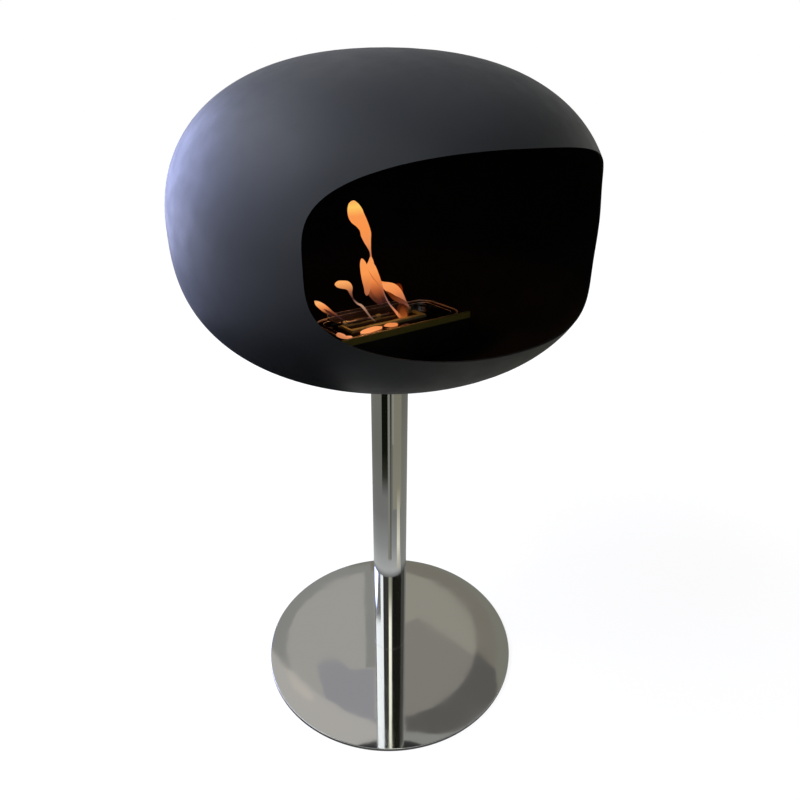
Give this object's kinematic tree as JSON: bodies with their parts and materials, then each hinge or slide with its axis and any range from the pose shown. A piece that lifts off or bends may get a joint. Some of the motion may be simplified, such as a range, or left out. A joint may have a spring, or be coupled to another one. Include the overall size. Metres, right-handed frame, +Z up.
{
  "type": "bioethanol fireplace",
  "caption": "Floor-standing bioethanol fireplace: a pebble-shaped steel pod with a wide oval opening over a lift-out slot burner, turning on a round column with a disc base.",
  "frame": {"origin": "on the floor under the column's axis, at the centre of the base's felt face", "axes": "+Z up along the column's axis, -Y out of the pod's opening, +X to the right of someone who looks into the opening"},
  "size_m": [0.6, 0.5741, 1.03],
  "materials": {
    "felt": "dark grey needle felt",
    "mirror_steel": "mirror-polished stainless steel",
    "plain_steel": "turned, plain stainless steel",
    "zinc_steel": "bright zinc plate",
    "black_steel": "black oxide",
    "slide_plastic": "natural, smooth",
    "bronze": "plain bearing bronze",
    "pod_coat": "matt charcoal powder coat, heat-resistant",
    "dark_coat": "black heat-resistant coat",
    "burner_steel": "satin stainless steel",
    "slot_steel": "stainless steel, tinted straw by heat",
    "flap_steel": "stainless steel, dulled by heat",
    "wool": "white ceramic-fibre blanket"
  },
  "bodies": {
    "pedestal": {"base_felt": "felt", "base_plate": "mirror_steel", "base_screws": "zinc_steel", "column_foot_plug": "plain_steel", "column_tube": "mirror_steel", "column_head_plug": "plain_steel", "thrust_washer": "slide_plastic", "retaining_washer": "zinc_steel", "retaining_bolt": "zinc_steel"},
    "pod": {"pod_shell": "pod_coat", "hub_plate": "dark_coat", "hub_screws": "black_steel", "pivot_bush": "bronze", "cradle_standoffs": "zinc_steel", "burner_cradle": "dark_coat", "cradle_screws": "zinc_steel"},
    "burner": {"burner_tray": "burner_steel", "fuel_tank": "burner_steel", "ceramic_wool": "wool", "wool_cover_plate": "burner_steel", "burner_deck": "burner_steel", "deck_screws": "zinc_steel", "slot_frame": "slot_steel", "frame_screws": "zinc_steel", "hinge_pin": "plain_steel", "pin_clips": "black_steel"},
    "snuffer": {"snuffer_flap": "flap_steel"}
  },
  "joints": [
    {"name": "pod_swivel", "type": "hinge", "parent": "pedestal", "child": "pod", "pos_m": [0, 0, 0.602], "axis": [0, 0, 1], "continuous": true},
    {"name": "burner_lift", "type": "slide", "parent": "pod", "child": "burner", "axis": [0, 0, 1], "range_m": [0, 0.09]},
    {"name": "snuffer_hinge", "type": "hinge", "parent": "burner", "child": "snuffer", "pos_m": [-0.012, 0.014, 0.675], "axis": [1, 0, 0], "range_deg": [0, 180]}
  ]
}
